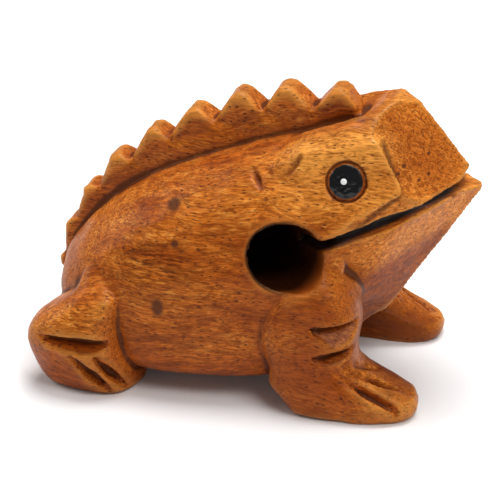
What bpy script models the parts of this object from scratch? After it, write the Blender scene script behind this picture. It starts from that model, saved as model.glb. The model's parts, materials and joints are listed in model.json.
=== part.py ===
"""Frog guiro: a wooden rasp in the shape of a crouching frog, carved from one block.

X runs from the heels to the nose, Y to the frog's left and Z up. The soles rest on Z = 0.
A stick drawn along the toothed crest makes the sound, and the bores and the mouth let it out.
Lengths in the tables are in millimetres, and X in them starts at the rump.
"""

from math import cos, pi, radians, sin, tan

import bmesh
import bpy
from mathutils import Matrix, Vector

MM = 0.001

# The X of the tables that becomes the middle of the finished length.
LENGTH_MIDDLE = 48.78 * MM

# Trunk, as sections across X: x, lowest, widest and highest Z, half width.
TRUNK_SECTIONS = (
    (0.0, 13.0, 18.0, 22.5, 6.0),
    (2.0, 8.0, 18.0, 28.5, 15.0),
    (6.0, 4.5, 18.0, 34.0, 21.0),
    (13.0, 3.0, 18.0, 41.0, 26.0),
    (24.0, 2.5, 18.0, 48.5, 29.0),
    (37.0, 2.5, 18.5, 54.5, 29.5),
    (50.0, 3.0, 20.0, 59.5, 28.5),
    (62.0, 4.6, 24.0, 62.5, 26.0),
    (72.0, 9.0, 30.0, 63.5, 20.0),
)
TRUNK_POWER = 2.2
BELLY_POWER = 3.6
TRUNK_POINTS = 40
TRUNK_STEPS = 4

# Legs, as sections across Z: z, rear and front X, inner and outer distance from the middle.
FRONT_LEG_SECTIONS = (
    (0.0, 58.4, 89.0, 14.5, 29.5),
    (1.5, 57.4, 90.6, 13.5, 30.5),
    (4.5, 56.5, 90.0, 13.0, 31.0),
    (7.5, 55.8, 83.6, 12.0, 31.0),
    (11.0, 55.2, 77.4, 11.0, 30.8),
    (15.0, 54.8, 76.0, 10.0, 30.5),
    (21.0, 54.8, 76.5, 8.0, 29.8),
    (27.0, 55.2, 75.5, 6.0, 28.8),
    (32.0, 57.0, 72.5, 4.0, 26.6),
    (37.0, 60.5, 69.0, 3.0, 21.0),
)
REAR_LEG_SECTIONS = (
    (0.0, 2.0, 22.8, 12.0, 29.0),
    (1.5, 0.5, 24.2, 11.5, 30.8),
    (6.0, -1.2, 24.2, 11.0, 33.0),
    (12.0, -2.4, 22.8, 10.5, 34.2),
    (16.0, -0.8, 22.2, 10.0, 34.0),
    (19.5, 3.0, 22.2, 10.0, 33.0),
    (22.5, 7.0, 22.6, 10.0, 31.5),
    (25.5, 10.0, 22.6, 10.0, 28.8),
    (32.5, 12.0, 17.5, 10.0, 20.4),
)
LEG_POWER = 2.7
LEG_POINTS = 32
LEG_STEPS = 2
FRONT_TOE_IN = radians(5)
REAR_TOE_OUT = radians(10)

# Crest: nine hand-cut teeth on a fan around one centre in the middle plane.
# Each row is the angle and the reach of a tip, then of the notch behind it.
CREST_CENTRE_X = 59.8
CREST_CENTRE_Z = 6.4
CREST_TEETH = (
    (83.3, 65.3, 88.4, 59.8),
    (94.8, 64.6, 100.2, 59.5),
    (105.0, 64.2, 111.9, 59.3),
    (116.0, 63.7, 123.8, 59.7),
    (126.9, 63.9, 134.9, 61.0),
    (137.6, 64.6, 145.2, 62.4),
    (147.8, 65.0, 155.0, 63.4),
    (157.6, 65.0, 163.6, 63.0),
    (165.8, 63.8, 170.5, 58.5),
)
CREST_START = (77.2, 60.4)
CREST_END = (174.0, 52.0)
TIP_HALF_ANGLE = 1.5
TIP_DROP = 0.6
CREST_TOP_HALF = 4.0
CREST_EDGE = 0.9
# Below the edge: the half width and the reach of the neck, the foot and the root.
CREST_FLARE = (
    (4.6, 57.2),
    (6.0, 51.8),
    (7.0, 44.8),
)
CREST_LEAST_NECK = 2.0

# Upper head: x, then half of the outline of its top from the middle to the brow.
HEAD_SECTIONS = (
    (50.0, (0.0, 57.0), (6.0, 56.5), (9.5, 55.8), (12.0, 54.6), (15.0, 53.0)),
    (60.5, (0.0, 62.0), (6.0, 61.6), (9.5, 62.4), (12.8, 61.6), (16.2, 59.1)),
    (70.0, (0.0, 64.5), (5.5, 64.6), (9.5, 66.0), (12.4, 64.8), (15.4, 61.5)),
    (73.5, (0.0, 66.0), (5.0, 66.4), (9.2, 67.2), (12.2, 65.4), (15.2, 62.4)),
    (77.5, (0.0, 69.0), (5.0, 69.1), (8.8, 68.1), (12.0, 65.9), (14.9, 63.4)),
    (81.0, (0.0, 70.2), (5.0, 69.8), (8.6, 68.2), (12.0, 66.0), (14.6, 64.2)),
    (85.0, (0.0, 68.9), (5.0, 68.5), (8.5, 67.4), (12.0, 65.6), (14.4, 64.8)),
    (103.0, (0.0, 62.0), (5.0, 61.8), (8.5, 61.2), (12.0, 60.0), (14.4, 59.0)),
)
# The side plates lean out as they go down, by this much for each unit of height.
PLATE_LEAN = 0.353
PLATE_EDGE = (15.0, 63.4)

# The middle of the mouth slot rises along X. Both jaw blocks reach a little into the slot,
# and there the lower one is a little narrower.
SLOT_POINT = (69.8, 41.1)
SLOT_RISE = 0.38
SLOT_OVERLAP = 0.3
JAW_INSET = 0.4

# Lower jaw and chest block: its ends, and half of its outline below the slot.
JAW_BACK = 58.0
JAW_FRONT = 100.2
JAW_HALF = (
    (24.8, 35.0),
    (22.0, 22.0),
    (8.0, 8.0),
    (0.0, 8.0),
)
SNOUT_NORMAL = (0.630, -0.583, 0.516)
SNOUT_POINT = (87.7, 0.0, 66.0)
JAW_FACETS = (
    ("jaw_cut", (0.697, -0.565, -0.44), (85.5, -16.0, 46.2)),
    ("jaw_easing", (0.405, -0.815, -0.42), (81.4, -19.7, 46.6)),
)
PLATE_FRONT_TOP = (77.5, -15.0, 63.4)
PLATE_FRONT_LOW = (84.1, -18.5, 54.0)
PLATE_BACK_LOW = (69.8, -22.2, 43.0)
LIP_POINT = (85.8, -14.8, 48.4)

# Mouth slot, seen from the side.
MOUTH_OUTLINE = (
    (60.0, 35.9),
    (69.8, 39.4),
    (96.6, 50.0),
    (106.0, 49.8),
    (106.0, 62.0),
    (97.2, 54.4),
    (95.8, 51.9),
    (69.8, 42.7),
    (60.0, 39.4),
)

# Knife cuts on the near side, each with its mirror image: name, start, end, where it is
# widest, half of its width and its depth there, and the way the surface faces.
KNIFE_CUTS = (
    ("thigh_cut", (-1.8, -31.8, 14.9), (21.8, -31.0, 14.6), 0.64, 0.22, 0.3, (0.1, -0.99, -0.1)),
    ("rear_toe_cut", (10.2, -33.7, 12.0), (19.6, -29.8, 1.2), 0.5, 1.0, 1.5, (0.3, -0.9, -0.3)),
    ("rear_web_cut", (15.3, -33.4, 12.2), (22.6, -27.2, 1.2), 0.5, 0.5, 0.9, (0.6, -0.76, -0.2)),
    ("shoulder_cut", (65.2, -29.2, 22.9), (77.6, -20.6, 23.6), 0.56, 0.12, 0.2, (0.5, -0.78, -0.38)),
    ("wrist_cut", (66.2, -29.9, 15.5), (77.2, -22.6, 17.4), 0.45, 0.12, 0.2, (0.5, -0.85, -0.1)),
    ("front_toe_cut", (71.0, -29.3, 13.4), (87.3, -27.2, 2.1), 0.5, 1.2, 1.8, (0.45, -0.6, 0.66)),
    ("front_web_cut", (73.0, -27.7, 13.4), (90.2, -20.6, 3.8), 0.5, 1.5, 2.5, (0.45, -0.12, 0.88)),
    ("inner_toe_cut", (75.4, -25.0, 12.0), (81.6, -16.4, 7.8), 0.5, 0.8, 1.3, (0.5, 0.02, 0.86)),
    ("eyelid_cut", (58.3, -17.3, 54.2), (61.7, -15.9, 60.0), 0.5, 0.8, 1.0, (-0.25, -0.9, 0.35)),
    ("cheek_cut", (49.8, -14.3, 54.6), (53.4, -19.2, 50.8), 0.5, 0.7, 0.9, (-0.2, -0.65, 0.73)),
)
KNIFE_RISE = 9.0

# Bores: one from each cheek, meeting in the middle of the body.
BORE_RADIUS = 8.1 * MM
BORE_MOUTH = (60.5, -25.0, 37.6)
BORE_AZIMUTH = radians(38)
BORE_RISE = radians(8)
BORE_OVERSHOOT = 30.0 * MM

# Eye: a boss left inside a tube-drilled ring on the side plate.
EYE_X = 72.0
EYE_Z = 54.8
EYE_RING_OUTER = 4.8 * MM
EYE_RING_INNER = 4.0 * MM
EYE_RING_DEPTH = 0.9 * MM
EYE_SIDES = 28


def remove_all_objects():
    for item in list(bpy.data.objects):
        bpy.data.objects.remove(item)


def new_collection(name):
    made = bpy.data.collections.new(name)
    bpy.context.scene.collection.children.link(made)
    return made


def add_object(name, shape, collection):
    shape.normal_update()
    bmesh.ops.recalc_face_normals(shape, faces=shape.faces)
    mesh = bpy.data.meshes.new(name)
    shape.to_mesh(mesh)
    shape.free()
    made = bpy.data.objects.new(name, mesh)
    collection.objects.link(made)
    return made


def between(before, start, end, after, t):
    """A value on the smooth curve from start to end, a share t of the way."""
    bend = 3 * (start - end) + after - before
    rise = 2 * before - 5 * start + 4 * end - after
    return start + 0.5 * t * (end - before + t * (rise + t * bend))


def smooth_rows(rows, steps):
    """Rows between the given ones, on smooth curves through them."""
    made = []
    last = len(rows) - 1
    for index in range(last):
        four = [rows[max(0, min(last, index + k))] for k in (-1, 0, 1, 2)]
        for step in range(steps):
            made.append([between(*values, step / steps) for values in zip(*four)])
    made.append(list(rows[last]))
    return made


def loft(rings):
    """A closed shape through rings of equally many points, with flat ends."""
    shape = bmesh.new()
    corners = [[shape.verts.new(point) for point in ring] for ring in rings]
    for ring, following in zip(corners, corners[1:]):
        for k in range(len(ring)):
            n = (k + 1) % len(ring)
            shape.faces.new((ring[k], ring[n], following[n], following[k]))
    shape.faces.new(corners[0])
    shape.faces.new(corners[-1])
    return shape


def bulge(angle, power):
    """The two coordinates of a rounded square of half side 1."""
    across, up = cos(angle), sin(angle)
    return (
        abs(across) ** (2 / power) * (1 if across >= 0 else -1),
        abs(up) ** (2 / power) * (1 if up >= 0 else -1),
    )


def build_trunk(collection):
    rings = []
    for x, low, widest, high, half in smooth_rows(TRUNK_SECTIONS, TRUNK_STEPS):
        ring = []
        for k in range(TRUNK_POINTS):
            angle = 2 * pi * k / TRUNK_POINTS
            across, up = bulge(angle, TRUNK_POWER if angle < pi else BELLY_POWER)
            reach = high - widest if up > 0 else widest - low
            ring.append(Vector((x, across * half, widest + up * reach)) * MM)
        rings.append(ring)
    return add_object("frog_body", loft(rings), collection)


def build_leg(name, sections, toe_in, collection):
    """Both legs of a pair, the right one first."""
    rings = []
    for z, back, front, inner, outer in smooth_rows(sections, LEG_STEPS):
        centre = Vector(((back + front) / 2, -(inner + outer) / 2, z))
        ring = []
        for k in range(LEG_POINTS):
            along, across = bulge(2 * pi * k / LEG_POINTS, LEG_POWER)
            offset = Vector((along * (front - back) / 2, across * (outer - inner) / 2, 0))
            ring.append((centre + Matrix.Rotation(toe_in, 3, "Z") @ offset) * MM)
        rings.append(ring)
    return both_sides(add_object(name, loft(rings), collection), collection)


def both_sides(item, collection):
    """The object, made on the right side, and its mirror image."""
    shape = bmesh.new()
    shape.from_mesh(item.data)
    bmesh.ops.scale(shape, vec=(1, -1, 1), verts=shape.verts)
    return [item, add_object(item.name + "_left", shape, collection)]


def crest_ring(degrees, top):
    """The crest's section at an angle, from the near root over the top to the far root."""
    out = Vector((cos(radians(degrees)), 0, sin(radians(degrees))))
    centre = Vector((CREST_CENTRE_X, 0, CREST_CENTRE_Z))
    half_ring = [(half, min(reach, top - CREST_LEAST_NECK)) for half, reach in reversed(CREST_FLARE)]
    half_ring.append((CREST_TOP_HALF, top - CREST_EDGE))
    half_ring.append((CREST_TOP_HALF - CREST_EDGE, top))
    near = [(centre + out * reach + Vector((0, -half, 0))) * MM for half, reach in half_ring]
    far = [(centre + out * reach + Vector((0, half, 0))) * MM for half, reach in reversed(half_ring)]
    return near + far


def build_crest(collection):
    rings = [crest_ring(*CREST_START)]
    for tip, reach, notch, notch_reach in CREST_TEETH:
        rings.append(crest_ring(tip - TIP_HALF_ANGLE, reach - TIP_DROP))
        rings.append(crest_ring(tip, reach))
        rings.append(crest_ring(tip + TIP_HALF_ANGLE, reach - TIP_DROP))
        rings.append(crest_ring(notch, notch_reach))
    rings.append(crest_ring(*CREST_END))
    return add_object("crest", loft(rings), collection)


def mirrored_ring(x, half):
    """A ring across X from half of its outline, which starts and ends in the middle plane."""
    outline = list(half) + [(-y, z) for y, z in reversed(half) if y > 0]
    return [Vector((x, y, z)) * MM for y, z in outline]


def plate_half_width(z):
    return PLATE_EDGE[0] + PLATE_LEAN * (PLATE_EDGE[1] - z)


def slot_height(x):
    return SLOT_POINT[1] + SLOT_RISE * (x - SLOT_POINT[0])


def build_head(collection):
    rings = []
    for x, *top in HEAD_SECTIONS:
        low = slot_height(x) - SLOT_OVERLAP
        rings.append(mirrored_ring(x, top + [(plate_half_width(low), low), (0.0, low)]))
    return add_object("head", loft(rings), collection)


def build_jaw(collection):
    rings = []
    for x in (JAW_BACK, JAW_FRONT):
        top = slot_height(x) + SLOT_OVERLAP
        edge = plate_half_width(top) - JAW_INSET
        rings.append(mirrored_ring(x, [(0.0, top), (edge, top)] + list(JAW_HALF)))
    return add_object("jaw", loft(rings), collection)


def slab(name, corner, out, along, collection, sides=(-0.4, 0.8, 0.0, 0.7)):
    """A block standing on a plane, both sides. Its sides are shares of the length of the head's
    blank: how far it reaches from its corner backwards and forwards along, and across.
    """
    reach = HEAD_SECTIONS[-1][0] * MM
    out = out.normalized()
    along = (along - along.dot(out) * out).normalized()
    across = out.cross(along)
    u_low, u_high, v_low, v_high = sides
    shape = bmesh.new()
    bmesh.ops.create_cube(shape, size=1.0)
    for vert in shape.verts:
        u = reach * (u_low if vert.co.x < 0 else u_high)
        v = reach * (v_low if vert.co.y < 0 else v_high)
        w = reach * (0 if vert.co.z < 0 else u_high)
        vert.co = corner + along * u + across * v + out * w
    return both_sides(add_object(name, shape, collection), collection)


def at(point):
    return Vector(point) * MM


def build_snout_cutter(collection):
    out = Vector(SNOUT_NORMAL).normalized()
    top, low = at(PLATE_FRONT_TOP), at(PLATE_FRONT_LOW)
    sunk = top - (top - at(SNOUT_POINT)).dot(out) * out
    return slab("snout_cut", sunk, out, low - top, collection)


def build_lip_cutter(collection):
    """The strip between the side plate and the mouth, deepest at the front."""
    out = Vector(SNOUT_NORMAL).normalized()
    low = at(PLATE_FRONT_LOW)
    front = low - (low - at(SNOUT_POINT)).dot(out) * out
    along = at(PLATE_BACK_LOW) - front
    return slab("lip_cut", front, along.cross(at(LIP_POINT) - front), along, collection)


def build_jaw_cutters(collection):
    made = []
    for name, normal, point in JAW_FACETS:
        out = Vector(normal).normalized()
        along = Vector((0, 0, 1)).cross(out)
        made += slab(name, at(point), out, along, collection, (-0.8, 0.8, -0.8, 0.8))
    return made


def build_prism(name, outline, half, collection):
    """A side outline drawn out sideways."""
    rings = [[Vector((x, y, z)) * MM for x, z in outline] for y in (-half, half)]
    return add_object(name, loft(rings), collection)


def build_bores(collection):
    shape = bmesh.new()
    out = Vector((sin(BORE_AZIMUTH), -cos(BORE_AZIMUTH), tan(BORE_RISE))).normalized()
    mouth = at(BORE_MOUTH)
    inner = mouth - out * (mouth.y / out.y) - out * BORE_RADIUS
    outer = mouth + out * BORE_OVERSHOOT
    middle = (inner + outer) / 2
    turn = out.to_track_quat("Z", "Y").to_matrix().to_4x4()
    bmesh.ops.create_cone(
        shape,
        cap_ends=True,
        segments=40,
        radius1=BORE_RADIUS,
        radius2=BORE_RADIUS,
        depth=(outer - inner).length,
        matrix=Matrix.Translation(middle) @ turn,
    )
    return both_sides(add_object("bore", shape, collection), collection)


def build_knife_cut(name, start, end, share, half, depth, facing, collection):
    """A V-shaped notch that runs out to nothing at both ends, both sides."""
    start, end, out = Vector(start), Vector(end), Vector(facing)
    along = end - start
    out = (out - out.dot(along) / along.length_squared * along).normalized()
    across = along.cross(out).normalized() * half * (depth + KNIFE_RISE) / depth
    middle = start + along * share
    rise = middle + out * KNIFE_RISE
    shape = bmesh.new()
    for corner in (start, end, middle - out * depth, rise + across, rise - across):
        shape.verts.new(at(corner))
    bmesh.ops.convex_hull(shape, input=shape.verts)
    return both_sides(add_object(name, shape, collection), collection)


def build_eye_rings(collection):
    out = Vector((0, -1, PLATE_LEAN)).normalized()
    along = Vector((1, 0, 0))
    centre = at((EYE_X, -plate_half_width(EYE_Z), EYE_Z))
    corners = (
        (EYE_RING_INNER, -EYE_RING_DEPTH),
        (EYE_RING_OUTER, -EYE_RING_DEPTH),
        (EYE_RING_OUTER, EYE_RING_DEPTH),
        (EYE_RING_INNER, EYE_RING_DEPTH),
    )
    shape = bmesh.new()
    rows = []
    for k in range(EYE_SIDES):
        angle = 2 * pi * k / EYE_SIDES
        radial = along * cos(angle) + out.cross(along) * sin(angle)
        rows.append([shape.verts.new(centre + radial * r + out * h) for r, h in corners])
    for k in range(EYE_SIDES):
        row, following = rows[k], rows[(k + 1) % EYE_SIDES]
        for j in range(4):
            n = (j + 1) % 4
            shape.faces.new((row[j], row[n], following[n], following[j]))
    return both_sides(add_object("eye_ring", shape, collection), collection)


def boolean(target, other, operation):
    step = target.modifiers.new(other.name, "BOOLEAN")
    step.operation = operation
    step.solver = "EXACT"
    step.object = other


def wood():
    material = bpy.data.materials.new("wood")
    material.use_nodes = True
    shader = material.node_tree.nodes["Principled BSDF"]
    shader.inputs["Base Color"].default_value = (0.36, 0.13, 0.035, 1)
    shader.inputs["Roughness"].default_value = 0.42
    shader.inputs["Metallic"].default_value = 0.0
    material.diffuse_color = (0.36, 0.13, 0.035, 1)
    return material


def main():
    remove_all_objects()
    frog = new_collection("frog_guiro")
    helpers = new_collection("helpers")
    body = build_trunk(frog)
    head = build_head(helpers)
    for cutter in build_snout_cutter(helpers) + build_lip_cutter(helpers):
        boolean(head, cutter, "DIFFERENCE")
    jaw = build_jaw(helpers)
    for cutter in build_jaw_cutters(helpers):
        boolean(jaw, cutter, "DIFFERENCE")
    front_legs = build_leg("front_leg", FRONT_LEG_SECTIONS, FRONT_TOE_IN, helpers)
    rear_legs = build_leg("rear_leg", REAR_LEG_SECTIONS, -REAR_TOE_OUT, helpers)
    for piece in [head, jaw] + front_legs + rear_legs + [build_crest(helpers)]:
        boolean(body, piece, "UNION")
    mouth = build_prism("mouth", MOUTH_OUTLINE, 1.5 * JAW_HALF[0][0], helpers)
    cutters = [mouth] + build_bores(helpers) + build_eye_rings(helpers)
    for row in KNIFE_CUTS:
        cutters += build_knife_cut(*row, helpers)
    for cutter in cutters:
        boolean(body, cutter, "DIFFERENCE")
    for item in helpers.objects:
        item.hide_render = True
        item.display_type = "WIRE"
    for item in bpy.data.objects:
        item.data.transform(Matrix.Translation((-LENGTH_MIDDLE, 0, 0)))
    body.data.materials.append(wood())
    body.data.shade_smooth()
    body.data.set_sharp_from_angle(angle=radians(35))


main()
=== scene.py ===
"""The frog guiro's looks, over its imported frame: the carved and varnished body, and its painted eyes."""

import json
import math

import bpy
import numpy as np
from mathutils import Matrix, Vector

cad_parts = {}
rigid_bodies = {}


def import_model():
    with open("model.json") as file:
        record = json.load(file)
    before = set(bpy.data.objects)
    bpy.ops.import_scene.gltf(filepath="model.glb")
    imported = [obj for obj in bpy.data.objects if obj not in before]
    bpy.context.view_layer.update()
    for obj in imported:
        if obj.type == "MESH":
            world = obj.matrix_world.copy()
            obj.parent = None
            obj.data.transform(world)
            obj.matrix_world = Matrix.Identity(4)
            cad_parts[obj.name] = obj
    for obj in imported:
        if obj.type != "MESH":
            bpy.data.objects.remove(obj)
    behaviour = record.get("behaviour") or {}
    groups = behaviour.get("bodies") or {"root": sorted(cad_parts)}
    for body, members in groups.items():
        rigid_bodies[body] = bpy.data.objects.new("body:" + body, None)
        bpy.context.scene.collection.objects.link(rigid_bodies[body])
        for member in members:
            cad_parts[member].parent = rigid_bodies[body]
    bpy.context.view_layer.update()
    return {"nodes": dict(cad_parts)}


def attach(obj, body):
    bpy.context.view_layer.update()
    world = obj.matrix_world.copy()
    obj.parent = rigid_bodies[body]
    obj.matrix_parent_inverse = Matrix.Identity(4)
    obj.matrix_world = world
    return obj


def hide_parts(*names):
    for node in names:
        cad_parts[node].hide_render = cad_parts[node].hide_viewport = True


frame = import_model()


# The frog is one block of tropical hardwood, sawn, carved with knife and gouge, sanded and
# varnished. Its surface is the CAD solid's, with the edges eased as sandpaper leaves them,
# a few faces leaned or rounded by hand, and a slight unevenness from the gouge.
MM = 0.001
SURFACE_CELL = 0.64 * MM
EASING_ROUNDS = 1
RELIEF_ROUNDS = 24
CRISPNESS = 0.35
MOST_CARVED = 0.9 * MM
NEARNESS_SLOPE = 1.4


def pick_only(thing):
    bpy.ops.object.select_all(action="DESELECT")
    thing.select_set(True)
    bpy.context.view_layer.objects.active = thing


def own_copy(node, name):
    """A merged copy of a CAD node, free of the frame's bodies and with its place in its mesh."""
    pick_only(node)
    bpy.ops.object.duplicate()
    copied = bpy.context.object
    copied.name = name
    for mark in list(copied.keys()):
        del copied[mark]
    bpy.ops.object.parent_clear(type="CLEAR_KEEP_TRANSFORM")
    bpy.ops.object.transform_apply(location=True, rotation=True, scale=True)
    bpy.ops.object.mode_set(mode="EDIT")
    bpy.ops.mesh.select_all(action="SELECT")
    bpy.ops.mesh.remove_doubles(threshold=0.000001)
    bpy.ops.object.mode_set(mode="OBJECT")
    return copied


def uneven(thing, name, wave_size, height):
    """Raises and sinks the surface a little, as hand work leaves it."""
    pattern = bpy.data.textures.new(name, "CLOUDS")
    pattern.noise_scale = wave_size
    pattern.noise_depth = 1
    pick_only(thing)
    bpy.ops.object.modifier_add(type="DISPLACE")
    step = thing.modifiers[-1]
    step.name = name
    step.texture = pattern
    step.strength = height
    step.mid_level = 0.5
    bpy.ops.object.modifier_apply(modifier=name)


def near_line(places, start, end, radius):
    """For each place, 1 on the line between two points on the left half and on its mirror
    image, falling to 0 at the radius. The points and the radius are in millimetres.
    """
    half = places / MM * (1, 0, 1) + np.abs(places / MM) * (0, 1, 0) - start
    run = np.subtract(end, start)
    share = np.clip(half @ run / (run @ run), 0, 1)
    gap = np.linalg.norm(half - share[:, None] * run, axis=1)
    nearness = np.clip(NEARNESS_SLOPE * (1 - gap / radius), 0, 1)
    return nearness**2 * (3 - 2 * nearness)


def shift(thing, moves):
    """Takes the surface near each line, on both sides, so many millimetres along the grain."""
    mesh = thing.data
    places = np.empty(3 * len(mesh.vertices))
    mesh.vertices.foreach_get("co", places)
    places = places.reshape(-1, 3)
    for start, end, radius, move in moves:
        places[:, 0] += near_line(places, start, end, radius) * move * MM
    mesh.vertices.foreach_set("co", places.ravel())
    mesh.update()


def carve_deeper(thing, name, rounds, share, most, rounded_edges):
    """Stores how far each point lies under its own smoothed-out shape, in millimetres, and
    takes it a share further that way, so that edges and cuts stay crisp. Along the rounded
    edges it takes the point towards the smoothed-out shape instead.
    """
    mesh = thing.data
    count = len(mesh.vertices)
    ends = np.empty(2 * len(mesh.edges), dtype=np.int64)
    mesh.edges.foreach_get("vertices", ends)
    first, second = ends.reshape(-1, 2).T
    places = np.empty(3 * count)
    mesh.vertices.foreach_get("co", places)
    normals = np.empty(3 * count)
    mesh.vertex_normals.foreach_get("vector", normals)
    places, normals = places.reshape(-1, 3), normals.reshape(-1, 3)
    neighbours = np.bincount(ends, minlength=count)[:, None]
    smoothed = places
    for _ in range(rounds):
        columns = []
        for column in smoothed.T:
            total = np.bincount(first, column[second], count)
            columns.append(total + np.bincount(second, column[first], count))
        smoothed = np.stack(columns, axis=1) / neighbours
    sunk = ((smoothed - places) * normals).sum(axis=1)
    carved = places - normals * np.clip(sunk, -most, most)[:, None] * share
    for start, end, radius, roundness in rounded_edges:
        rounding = near_line(places, start, end, radius)[:, None] * roundness
        carved += (smoothed - carved) * rounding
    mesh.vertices.foreach_set("co", carved.ravel())
    mesh.attributes.new(name, "FLOAT", "POINT").data.foreach_set("value", sunk / MM)


carved_frog = own_copy(frame["nodes"]["frog_body"], "carved_frog")
carved_frog.data.remesh_voxel_size = SURFACE_CELL
bpy.ops.object.voxel_remesh()
bpy.ops.object.mode_set(mode="EDIT")
bpy.ops.mesh.select_all(action="SELECT")
bpy.ops.mesh.vertices_smooth(factor=0.5, repeat=EASING_ROUNDS)
bpy.ops.object.mode_set(mode="OBJECT")
uneven(carved_frog, "gouge_unevenness", wave_size=9 * MM, height=0.5 * MM)
uneven(carved_frog, "sanding_unevenness", wave_size=2.5 * MM, height=0.12 * MM)

# The back of the front leg leans, its sole is shorter behind, the chest ends further back and
# the eye plate's front edge stands a little forward. Each row gives a line's two ends, its
# reach and the move forward, in millimetres.
shift(carved_frog, (
    ((5.5, 24.0, 18.0), (5.5, 30.0, 22.0), 9.0, -2.2),
    ((8.0, 16.0, 0.0), (8.0, 30.0, 0.0), 7.0, 2.4),
    ((25.5, 0.0, 11.0), (25.5, 7.0, 15.5), 8.0, -2.8),
    ((29.0, 15.0, 62.0), (34.0, 18.0, 56.0), 4.0, 1.1),
))

# The jaw's ridge, both runs of the lower lip, and the back corner and outer edge of the front
# sole are sanded round. Each row gives a line's two ends, its reach and the share of rounding.
ROUNDED_EDGES = (
    ((33.2, 17.0, 42.0), (28.2, 12.3, 28.0), 7.0, 0.9),
    ((22.7, 20.1, 34.3), (34.3, 15.2, 40.4), 3.0, 0.7),
    ((34.3, 15.2, 40.4), (48.0, 3.5, 47.6), 3.0, 0.7),
    ((8.5, 24.0, 1.0), (10.0, 30.5, 1.0), 6.0, 0.9),
    ((24.0, 29.0, 2.0), (10.0, 31.0, 1.0), 5.0, 0.7),
)
carve_deeper(carved_frog, "sunk", RELIEF_ROUNDS, CRISPNESS, MOST_CARVED, ROUNDED_EDGES)
pick_only(carved_frog)
bpy.ops.object.shade_smooth()


def add_node(material, kind, **settings):
    made = material.node_tree.nodes.new(kind)
    for name, value in settings.items():
        setattr(made, name, value)
    return made


def feed(material, source, target):
    material.node_tree.links.new(source, target)


def stretched(material, place, scale):
    """The place in the wood, closed up along the grain or across it."""
    made = add_node(material, "ShaderNodeMapping")
    made.inputs["Scale"].default_value = scale
    feed(material, place, made.inputs["Vector"])
    return made.outputs["Vector"]


def noise(material, place, detail, roughness=0.55, distortion=0.0):
    made = add_node(material, "ShaderNodeTexNoise")
    made.inputs["Scale"].default_value = 1.0
    made.inputs["Detail"].default_value = detail
    made.inputs["Roughness"].default_value = roughness
    made.inputs["Distortion"].default_value = distortion
    feed(material, place, made.inputs["Vector"])
    return made.outputs["Fac"]


def between(material, value, low, high, to_low=0.0, to_high=1.0):
    """Runs from to_low, where the value is low, to to_high, where it is high, and no further."""
    made = add_node(material, "ShaderNodeMapRange")
    limits = {"From Min": low, "From Max": high, "To Min": to_low, "To Max": to_high}
    for name, number in limits.items():
        made.inputs[name].default_value = number
    feed(material, value, made.inputs["Value"])
    return made.outputs["Result"]


def combined(material, operation, first, second):
    made = add_node(material, "ShaderNodeMath", operation=operation)
    for socket, value in zip(made.inputs, (first, second)):
        if isinstance(value, float):
            socket.default_value = value
        else:
            feed(material, value, socket)
    return made.outputs[0]


def product(material, *values):
    made = values[0]
    for value in values[1:]:
        made = combined(material, "MULTIPLY", made, value)
    return made


def tinted(material, share, base, tint):
    """base, turned towards tint by share. Each of the colours is a value or a node's output."""
    made = add_node(material, "ShaderNodeMix", data_type="RGBA")
    made.clamp_factor = True
    for name, value in (("Factor_Float", share), ("A_Color", base), ("B_Color", tint)):
        socket = next(s for s in made.inputs if s.identifier == name)
        if isinstance(value, (float, tuple)):
            socket.default_value = value
        else:
            feed(material, value, socket)
    return next(s for s in made.outputs if s.identifier == "Result_Color")


def offset(material, place, point):
    """The way from a point, in millimetres, to the place in the wood."""
    made = add_node(material, "ShaderNodeVectorMath", operation="SUBTRACT")
    feed(material, place, made.inputs[0])
    made.inputs[1].default_value = [c * MM for c in point]
    return made.outputs[0]


def with_vector(material, operation, place, vector):
    made = add_node(material, "ShaderNodeVectorMath", operation=operation)
    feed(material, place, made.inputs[0])
    made.inputs[1].default_value = vector
    return made.outputs["Value" if operation == "DOT_PRODUCT" else "Vector"]


def length(material, vector):
    made = add_node(material, "ShaderNodeVectorMath", operation="LENGTH")
    feed(material, vector, made.inputs[0])
    return made.outputs["Value"]


# A mask is full up to this share of its radius. A spot fades a little past its edge.
SPOT_CORE, SPOT_EDGE = 0.55, 1.1
LINE_CORE = 0.35


def spot(material, place, centre, radii):
    """1 in the middle of an egg-shaped place in the wood, falling to 0 at its edge."""
    to_radii = [1 / (r * MM) for r in radii]
    way = with_vector(material, "MULTIPLY", offset(material, place, centre), to_radii)
    return between(material, length(material, way), SPOT_CORE, SPOT_EDGE, 1.0, 0.0)


def along_line(material, place, start, end, radius):
    """1 on the straight line between two points, in millimetres, falling to 0 at the radius."""
    way = offset(material, place, start)
    run = (Vector(end) - Vector(start)) * MM
    aside = length(material, with_vector(material, "CROSS_PRODUCT", way, run.normalized()))
    ahead = with_vector(material, "DOT_PRODUCT", way, run.normalized())
    return product(
        material,
        between(material, aside, LINE_CORE * radius * MM, radius * MM, 1.0, 0.0),
        between(material, ahead, -radius * MM, 0.0),
        between(material, ahead, run.length, run.length + radius * MM, 1.0, 0.0),
    )


# The wood where the stain is worn thin, where it is thick, and in its pores and knots.
# Pore brown also serves as painted shade in grooves and steps; the hollow is painted near black as shade.
PALE_GOLD = (0.95, 0.42, 0.080, 1)
GOLDEN = (0.77, 0.235, 0.025, 1)
ORANGE = (0.52, 0.112, 0.009, 1)
AMBER = (0.72, 0.200, 0.022, 1)
RUSSET = (0.30, 0.056, 0.007, 1)
BROWN = (0.19, 0.034, 0.004, 1)
GROOVE_RED = (0.26, 0.038, 0.004, 1)
PORE_AND_SHADE = (0.050, 0.010, 0.003, 1)
KNOT = (0.085, 0.024, 0.010, 1)
HOLLOW_SHADE = (0.016, 0.005, 0.002, 1)

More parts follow.
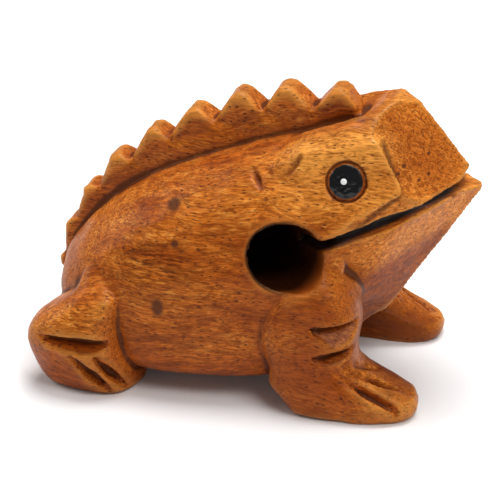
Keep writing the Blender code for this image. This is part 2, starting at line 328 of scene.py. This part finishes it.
wood = bpy.data.materials.new("varnished_wood")
wood.use_nodes = True
wood_shader = wood.node_tree.nodes["Principled BSDF"]
wood_shader.inputs["Roughness"].default_value = 0.42
wood_shader.inputs["Specular IOR Level"].default_value = 0.16
wood_shader.inputs["Specular Tint"].default_value = (1.0, 0.70, 0.42, 1)
wood_shader.inputs["Coat Weight"].default_value = 0.08
wood_shader.inputs["Coat Roughness"].default_value = 0.25

# The grain runs along X and wanders a little.
wood_place = add_node(wood, "ShaderNodeTexCoord")
in_wood = wood_place.outputs["Object"]
wander = add_node(wood, "ShaderNodeTexNoise")
wander.inputs["Scale"].default_value = 30.0
wander.inputs["Detail"].default_value = 2.0
feed(wood, in_wood, wander.inputs["Vector"])
wander_size = add_node(wood, "ShaderNodeVectorMath", operation="SCALE")
feed(wood, wander.outputs["Color"], wander_size.inputs[0])
wander_size.inputs["Scale"].default_value = 9.0 * MM
grain_place = add_node(wood, "ShaderNodeVectorMath", operation="ADD")
feed(wood, in_wood, grain_place.inputs[0])
feed(wood, wander_size.outputs[0], grain_place.inputs[1])
along_grain = grain_place.outputs[0]


def grain_layer(along, across, **settings):
    """One layer of the figure, by its waves to the metre along and across the grain."""
    return noise(wood, stretched(wood, along_grain, (along, across, across)), **settings)


broad_streaks = grain_layer(30.0, 140.0, detail=3.0)
streaks = grain_layer(85.0, 560.0, detail=6.0, roughness=0.7, distortion=0.5)
flames = grain_layer(300.0, 1150.0, detail=3.0, roughness=0.6, distortion=0.9)
fibres = grain_layer(330.0, 3000.0, detail=3.0, roughness=0.65, distortion=0.3)

# Some cells of the wood are open pores, short dashes along the grain.
pore_cells = add_node(wood, "ShaderNodeTexVoronoi")
pore_cells.inputs["Scale"].default_value = 1.0
feed(wood, stretched(wood, along_grain, (520.0, 1700.0, 1700.0)), pore_cells.inputs["Vector"])
pore_pick = add_node(wood, "ShaderNodeSeparateColor")
feed(wood, pore_cells.outputs["Color"], pore_pick.inputs[0])
pore_open = between(wood, pore_pick.outputs[0], 0.35, 0.65)
pore_core = between(wood, pore_cells.outputs["Distance"], 0.16, 0.32, 1.0, 0.0)
pores = product(wood, pore_open, pore_core)

# Painted top light: what faces up is paler, a little less so where it lies level. The stored
# depth marks the edges, paler as wear and painted highlight, and the cuts, darker as painted shade.
facing = add_node(wood, "ShaderNodeSeparateXYZ")
feed(wood, wood_place.outputs["Normal"], facing.inputs[0])
painted_top_light = combined(
    wood,
    "SUBTRACT",
    between(wood, facing.outputs["Z"], -0.35, 0.6),
    between(wood, facing.outputs["Z"], 0.75, 1.0, 0.0, 0.6),
)
sunk = add_node(wood, "ShaderNodeAttribute", attribute_name="sunk")
worn_and_highlit_edge = between(wood, sunk.outputs["Fac"], -0.25, -0.65)
painted_groove_shade = between(wood, sunk.outputs["Fac"], 0.12, 0.42)
painted_deep_shade = between(wood, sunk.outputs["Fac"], 0.38, 0.60)

# Both halves are stained and shaded alike, so these masks are laid out on the left half only.
in_halves = add_node(wood, "ShaderNodeSeparateXYZ")
feed(wood, in_wood, in_halves.inputs[0])
from_middle = combined(wood, "ABSOLUTE", in_halves.outputs["Y"], 0.0)
half_place = add_node(wood, "ShaderNodeCombineXYZ")
for axis, value in (("X", in_halves.outputs["X"]), ("Y", from_middle), ("Z", in_halves.outputs["Z"])):
    feed(wood, value, half_place.inputs[axis])
in_half = half_place.outputs[0]

# Handling has worn the stain thin on the crest, the lower lip, the eye plates and brow and the top
# of the flank; on the crest this follows what faces up, as painted top light. The stain has stayed
# thick on the legs and feet, and the inner side of each front foot is painted darker as shade.
wear_and_top_light = product(wood, between(wood, from_middle, 6.0 * MM, 4.6 * MM), painted_top_light, 0.25)
for worn_start, worn_end, worn_radius, worn_share in (
    ((22.0, 19.5, 33.5), (34.5, 14.2, 38.5), 8.0, 0.95),
    ((34.5, 14.2, 38.5), (48.0, 2.5, 46.0), 8.5, 0.95),
    ((2.0, 14.5, 55.0), (19.0, 15.5, 60.5), 6.0, 0.60),
    ((14.0, 17.0, 58.5), (29.0, 14.5, 62.5), 6.5, 1.0),
    ((10.0, 19.5, 50.0), (33.0, 18.5, 52.5), 9.0, 0.85),
    ((-14.0, 20.5, 45.0), (4.0, 19.0, 50.5), 8.0, 0.50),
    ((26.0, 0.0, 69.5), (36.0, 0.0, 69.0), 9.0, 0.60),
):
    worn = along_line(wood, in_half, worn_start, worn_end, worn_radius)
    wear_and_top_light = combined(wood, "MAXIMUM", wear_and_top_light, product(wood, worn, worn_share))
body_colour = tinted(wood, between(wood, streaks, 0.37, 0.60), BROWN, ORANGE)
# Gold streaks show where the wood faces up, as painted top light, and where it is worn.
gold_grain_and_top_light = product(wood, between(wood, broad_streaks, 0.38, 0.60), painted_top_light, 0.7)
gold_grain_and_top_light = combined(wood, "MAXIMUM", gold_grain_and_top_light, wear_and_top_light)
body_colour = tinted(wood, gold_grain_and_top_light, body_colour, GOLDEN)
clear_shares = []
for dark_start, dark_end, dark_radius, dark_share, stain_and_shade_colour in (
    ((16.0, 27.0, 10.0), (23.0, 24.0, 31.0), 12.5, 0.75, RUSSET),
    # Painted shade on the inner side of each front foot.
    ((24.0, 9.0, 8.0), (44.0, 13.5, 3.0), 10.0, 0.88, BROWN),
    ((-46.0, 28.0, 6.0), (-28.0, 32.0, 8.0), 9.0, 0.40, RUSSET),
):
    stain_and_shade_mask = along_line(wood, in_half, dark_start, dark_end, dark_radius)
    stain_and_shade = product(wood, stain_and_shade_mask, dark_share)
    body_colour = tinted(wood, stain_and_shade, body_colour, stain_and_shade_colour)
    clear_shares.append(combined(wood, "SUBTRACT", 1.0, stain_and_shade))
free_of_stain_and_shade = product(wood, *clear_shares)
# End grain is amber, most where it faces up, as painted top light.
end_grain = between(wood, combined(wood, "ABSOLUTE", facing.outputs["X"], 0.0), 0.42, 0.62)
body_colour = tinted(wood, product(wood, end_grain, painted_top_light, 0.5), body_colour, AMBER)
brow_wear = along_line(wood, in_half, (12.0, 16.5, 59.0), (29.0, 15.0, 61.5), 7.5)
plate_wear = along_line(wood, in_half, (12.0, 18.5, 53.0), (32.0, 18.0, 54.5), 9.0)
palest = combined(wood, "MAXIMUM", product(wood, brow_wear, 0.55), product(wood, plate_wear, 0.22))
body_colour = tinted(wood, palest, body_colour, PALE_GOLD)
less_wear_and_top_light = combined(wood, "SUBTRACT", 1.0, product(wood, wear_and_top_light, 0.35))
dark_flecks = product(wood, between(wood, flames, 0.52, 0.62), less_wear_and_top_light, 0.7)
pale_flecks = product(wood, between(wood, flames, 0.47, 0.37), gold_grain_and_top_light, free_of_stain_and_shade, 0.8)
dark_lines = product(wood, between(wood, fibres, 0.46, 0.60), less_wear_and_top_light, 0.7)
body_colour = tinted(wood, dark_flecks, body_colour, BROWN)
body_colour = tinted(wood, pale_flecks, body_colour, PALE_GOLD)
body_colour = tinted(wood, dark_lines, body_colour, BROWN)
# Edges are paler, partly worn and partly a painted highlight.
body_colour = tinted(wood, product(wood, worn_and_highlit_edge, free_of_stain_and_shade, 0.35), body_colour, PALE_GOLD)
# Cuts and grooves are painted darker as shade.
body_colour = tinted(wood, product(wood, painted_groove_shade, 0.5), body_colour, RUSSET)
body_colour = tinted(wood, product(wood, painted_deep_shade, 0.8), body_colour, PORE_AND_SHADE)
body_colour = tinted(wood, product(wood, pores, 0.85), body_colour, PORE_AND_SHADE)

# Knots on the right flank, thigh and rump, and pin knots on the brow and snout. Then cracks
# along the right flank, a torn patch over the thigh, and slips of the gouge by the brow.
for knot_centre, knot_radii in (
    ((-16.7, -18.8, 45.8), (2.0, 2.6, 2.2)),
    ((-18.1, -29.2, 23.9), (1.7, 3.0, 2.6)),
    ((-39.5, -23.5, 25.0), (2.6, 3.0, 2.0)),
    ((-14.8, -25.0, 38.6), (1.1, 2.0, 1.0)),
    ((24.7, 0.6, 66.1), (0.9, 1.6, 1.0)),
    ((40.4, -8.4, 54.7), (0.5, 1.0, 0.5)),
    ((38.6, -11.0, 54.0), (0.4, 1.0, 0.4)),
    ((35.2, -11.7, 57.3), (0.6, 1.0, 0.6)),
    ((34.2, -13.8, 56.1), (0.7, 1.0, 0.5)),
    ((39.8, -5.5, 58.6), (0.4, 1.0, 0.5)),
    ((36.6, -14.0, 51.2), (0.5, 1.0, 0.5)),
):
    knot_share = spot(wood, in_wood, knot_centre, knot_radii)
    body_colour = tinted(wood, product(wood, knot_share, 0.9), body_colour, KNOT)
for crack_start, crack_end, crack_radius in (
    ((-15.5, -17.0, 47.7), (-13.1, -19.8, 46.1), 0.45),
    ((-13.1, -19.8, 46.1), (-1.9, -21.8, 46.8), 0.40),
    ((1.5, -14.8, 54.9), (-7.4, -16.9, 50.6), 0.55),
    ((-7.4, -16.9, 50.6), (-16.8, -18.3, 46.3), 0.45),
):
    crack = along_line(wood, in_wood, crack_start, crack_end, crack_radius)
    body_colour = tinted(wood, product(wood, crack, 0.35), body_colour, PORE_AND_SHADE)
torn_place = along_line(wood, in_wood, (-24.0, -25.6, 34.2), (-14.5, -27.2, 33.2), 5.5)
torn_lines = noise(wood, stretched(wood, in_wood, (110.0, 1500.0, 1500.0)), detail=2.0)
torn = product(wood, torn_place, between(wood, torn_lines, 0.52, 0.60))
body_colour = tinted(wood, product(wood, torn, 0.7), body_colour, PORE_AND_SHADE)
for gouge_start, gouge_end, gouge_radius in (
    ((10.1, 17.2, 55.2), (12.5, 16.1, 59.2), 0.95),
    ((1.8, 15.2, 54.0), (4.0, 18.4, 51.4), 0.95),
    ((5.0, 15.6, 55.6), (8.3, 18.2, 51.2), 0.70),
):
    gouge = along_line(wood, in_half, gouge_start, gouge_end, gouge_radius)
    body_colour = tinted(wood, product(wood, gouge, 0.8), body_colour, BROWN)

# Painted shade darkens the foot of the steps around the side plates. The drilled ring around
# each eye is darker. A ring's radii are in millimetres.
EYE_MIDDLE = (23.22, 18.03, 54.8)
RING_FADE = 0.15
for step_start, step_end, step_radius in (
    ((30.4, 12.9, 62.3), (35.1, 16.1, 53.0), 1.7),
    ((35.0, 16.6, 51.6), (22.6, 20.6, 42.0), 1.0),
):
    painted_step_shade = along_line(wood, in_half, step_start, step_end, step_radius)
    body_colour = tinted(wood, product(wood, painted_step_shade, 0.7), body_colour, PORE_AND_SHADE)
from_eye = length(wood, offset(wood, in_half, EYE_MIDDLE))
eye_groove = between(wood, from_eye, 4.75 * MM, 4.95 * MM, 1.0, 0.0)
body_colour = tinted(wood, product(wood, eye_groove, 0.7), body_colour, GROOVE_RED)
for ring_low, ring_high in ((3.3, 3.8), (4.35, 4.75)):
    ring = product(
        wood,
        between(wood, from_eye, (ring_low - RING_FADE) * MM, ring_low * MM),
        between(wood, from_eye, ring_high * MM, (ring_high + RING_FADE) * MM, 1.0, 0.0),
    )
    body_colour = tinted(wood, product(wood, ring, 0.6), body_colour, PORE_AND_SHADE)

# No varnish or light reaches the hollow, and it is painted near black as shade: the two bores,
# where they meet, and the slot's depth.
BORE_MOUTH = (11.72, 25.0, 37.6)
BORE_OUT = Vector((0.6157, 0.7880, 0.1405)).normalized()
BORE_WALL = (8.3 * MM, 8.7 * MM)
BORE_RIM = (8.6 * MM, 10.4 * MM)
CROSSING_MIDDLE, CROSSING_RADII = (-6.0, 0.0, 33.5), (22.0, 17.0, 15.0)
SLOT_RISE = 0.38
SLOT_HEIGHT = 33.1 * MM
from_mouth = offset(wood, in_half, BORE_MOUTH)
off_axis = length(wood, with_vector(wood, "CROSS_PRODUCT", from_mouth, BORE_OUT))
inward = with_vector(wood, "DOT_PRODUCT", from_mouth, BORE_OUT)
bore_rim = product(
    wood,
    between(wood, off_axis, *BORE_RIM, 1.0, 0.0),
    between(wood, inward, 7.0 * MM, 2.0 * MM),
)
body_colour = tinted(wood, product(wood, bore_rim, 0.55), body_colour, RUSSET)
painted_hollow_shade = product(
    wood,
    between(wood, off_axis, *BORE_WALL, 1.0, 0.0),
    between(wood, inward, 3.0 * MM, -2.5 * MM),
)
crossing = spot(wood, in_wood, CROSSING_MIDDLE, CROSSING_RADII)
painted_hollow_shade = combined(wood, "MAXIMUM", painted_hollow_shade, crossing)
slot_middle = combined(wood, "MULTIPLY", in_halves.outputs["X"], SLOT_RISE)
over_slot = combined(wood, "SUBTRACT", in_halves.outputs["Z"], slot_middle)
from_slot = combined(wood, "ABSOLUTE", combined(wood, "SUBTRACT", over_slot, SLOT_HEIGHT), 0.0)
painted_slot_shade = product(
    wood,
    between(wood, from_slot, 1.8 * MM, 2.1 * MM, 1.0, 0.0),
    between(wood, in_halves.outputs["X"], 10.0 * MM, 12.0 * MM),
    between(wood, in_halves.outputs["X"], 44.0 * MM, 46.5 * MM, 1.0, 0.0),
)

# Each side of the snout is a slope and its reach at the frog's middle, in millimetres. The
# slot is painted dark as shade from a little inside it.
DARK_INSIDE, LIT_INSIDE = 3.0, 1.2
for side_slope, side_reach in ((0.42, 29.6), (0.85, 44.4)):
    side_run = combined(wood, "MULTIPLY", in_halves.outputs["X"], side_slope)
    slot_reach = combined(wood, "ADD", from_middle, side_run)
    dark_reach, lit_reach = (side_reach - DARK_INSIDE) * MM, (side_reach - LIT_INSIDE) * MM
    painted_slot_shade = product(wood, painted_slot_shade, between(wood, slot_reach, dark_reach, lit_reach, 1.0, 0.0))
painted_hollow_shade = combined(wood, "MAXIMUM", painted_hollow_shade, painted_slot_shade)
body_colour = tinted(wood, product(wood, painted_hollow_shade, 0.92), body_colour, HOLLOW_SHADE)
feed(wood, body_colour, wood_shader.inputs["Base Color"])

# Fibres and open pores can be felt through the varnish.
surface_height = combined(wood, "SUBTRACT", product(wood, fibres, 0.5), pores)
relief = add_node(wood, "ShaderNodeBump")
relief.inputs["Strength"].default_value = 0.6
relief.inputs["Distance"].default_value = 0.15 * MM
feed(wood, surface_height, relief.inputs["Height"])
feed(wood, relief.outputs["Normal"], wood_shader.inputs["Normal"])

carved_frog.data.materials.clear()
carved_frog.data.materials.append(wood)
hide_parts("frog_body")
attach(carved_frog, "root")


# Each eye is the boss left inside the drilled ring, brushed with gloss black paint, with a
# dab of white paint in its middle for the glint.
PLATE_LEAN = 0.353
PLATE_TILT = math.atan(PLATE_LEAN)
EYE_PLACE = Vector(EYE_MIDDLE) * MM
EYE_FACING = Vector((0, math.cos(PLATE_TILT), math.sin(PLATE_TILT)))


def dab_of_paint(name, side, radius, thickness, sink, behind=0.0):
    """A low dome of paint on the plate, on the left side for 1 and on the right for -1. It
    begins so far under the plate's face, and lies so far behind the eye's middle.
    """
    facing = Vector((0, side * EYE_FACING.y, EYE_FACING.z))
    centre = Vector((EYE_PLACE.x - behind, side * EYE_PLACE.y, EYE_PLACE.z))
    centre += facing * (thickness / 2 - sink)
    bpy.ops.object.select_all(action="DESELECT")
    bpy.ops.mesh.primitive_uv_sphere_add(
        segments=64,
        ring_count=48,
        radius=1.0,
        location=centre,
        rotation=facing.to_track_quat("Z", "Y").to_euler(),
    )
    dab = bpy.context.object
    dab.name = name
    dab.scale = (radius, radius, thickness / 2)
    bpy.ops.object.transform_apply(location=True, rotation=True, scale=True)
    bpy.ops.object.shade_smooth()
    return dab


def paint(name, colour, roughness):
    material = bpy.data.materials.new(name)
    material.use_nodes = True
    shader = material.node_tree.nodes["Principled BSDF"]
    shader.inputs["Base Color"].default_value = colour
    shader.inputs["Roughness"].default_value = roughness
    shader.inputs["Specular IOR Level"].default_value = 0.15
    shader.inputs["Coat Weight"].default_value = 0.5
    shader.inputs["Coat Roughness"].default_value = 0.12
    return material


black_paint = paint("black_eye_paint", (0.006, 0.006, 0.007, 1), 0.3)
white_paint = paint("white_eye_paint", (0.85, 0.85, 0.82, 1), 0.4)
for eye_side, side_name in ((-1, "right"), (1, "left")):
    pupil = dab_of_paint(
        "eye_black_" + side_name,
        eye_side,
        radius=3.82 * MM,
        thickness=0.9 * MM,
        sink=0.45 * MM,
    )
    uneven(pupil, "brush_marks_" + side_name, wave_size=0.9 * MM, height=0.30 * MM)
    pupil.data.materials.append(black_paint)
    glint = dab_of_paint(
        "eye_white_" + side_name,
        eye_side,
        radius=0.70 * MM,
        thickness=0.5 * MM,
        sink=-0.3 * MM,
        behind=0.4 * MM,
    )
    glint.data.materials.append(white_paint)
    for painted, slot in ((pupil, "eye_black"), (glint, "eye_white")):
        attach(painted, "root")


# The stage: a white floor that keeps the soft shadow and glows further off, wide soft lamps
# as in a light tent, and the camera at the photograph's place.
FLOOR_DROP = 0.02 * MM
GLOW_BEGINS, GLOW_FULL = 0.20, 0.9
LEAST_GLOW = 0.02
TENT_LIGHT = 0.15
LAMP_AIM = Vector((0, 0, 0.03))
CAMERA_PLACE = (87.80 * MM, -365.55 * MM, 195.25 * MM)
CAMERA_DOWN, CAMERA_ROUND = 24, 14

bpy.ops.object.select_all(action="DESELECT")
bpy.ops.mesh.primitive_plane_add(size=6.0, location=(0, 0, -FLOOR_DROP))
floor = bpy.context.object
floor.name = "floor"
floor_white = bpy.data.materials.new("floor_white")
floor_white.use_nodes = True
floor_nodes = floor_white.node_tree.nodes
floor_shader = floor_nodes["Principled BSDF"]
floor_shader.inputs["Base Color"].default_value = (0.92, 0.92, 0.92, 1)
floor_shader.inputs["Roughness"].default_value = 0.9
floor_shader.inputs["Specular IOR Level"].default_value = 0.1
seen_by = add_node(floor_white, "ShaderNodeLightPath")
seen_white = seen_by.outputs["Is Camera Ray"]
for ray_kind in ("Is Glossy Ray", "Is Transmission Ray"):
    seen_white = combined(floor_white, "MAXIMUM", seen_white, seen_by.outputs[ray_kind])
floor_shader.inputs["Emission Color"].default_value = (1, 1, 1, 1)
floor_place = add_node(floor_white, "ShaderNodeTexCoord")
from_frog = length(floor_white, floor_place.outputs["Object"])
glow_level = between(floor_white, from_frog, GLOW_BEGINS, GLOW_FULL, LEAST_GLOW, 1.0)
own_glow = product(floor_white, seen_white, glow_level)
feed(floor_white, own_glow, floor_shader.inputs["Emission Strength"])
floor.data.materials.append(floor_white)

tent = bpy.data.worlds.new("light_tent")
bpy.context.scene.world = tent
tent.use_nodes = True
tent_light = tent.node_tree.nodes["Background"]
tent_light.inputs["Color"].default_value = (1, 1, 1, 1)
tent_seen = add_node(tent, "ShaderNodeLightPath").outputs["Is Camera Ray"]
feed(tent, between(tent, tent_seen, 0.0, 1.0, TENT_LIGHT, 1.0), tent_light.inputs["Strength"])


def soft_lamp(name, place, size, power):
    bpy.ops.object.select_all(action="DESELECT")
    bpy.ops.object.light_add(type="AREA", location=place)
    lamp = bpy.context.object
    lamp.name = name
    lamp.data.size = size
    lamp.data.energy = power
    lamp.rotation_euler = (Vector(place) - LAMP_AIM).to_track_quat("Z", "Y").to_euler()


soft_lamp("top_lamp", (0.05, 0.20, 1.0), size=0.6, power=9.6)
soft_lamp("left_lamp", (-0.8, 0.0, 0.55), size=0.5, power=2.2)
soft_lamp("right_lamp", (0.45, -0.4, 0.85), size=0.4, power=4.0)

bpy.ops.object.select_all(action="DESELECT")
bpy.ops.object.camera_add(
    location=CAMERA_PLACE,
    rotation=(math.radians(90 - CAMERA_DOWN), 0, math.radians(CAMERA_ROUND)),
)
camera = bpy.context.object
camera.data.sensor_width = 36
camera.data.lens = 122.4
camera.data.clip_start = 0.01
bpy.context.scene.camera = camera
bpy.context.scene.view_settings.view_transform = "Standard"
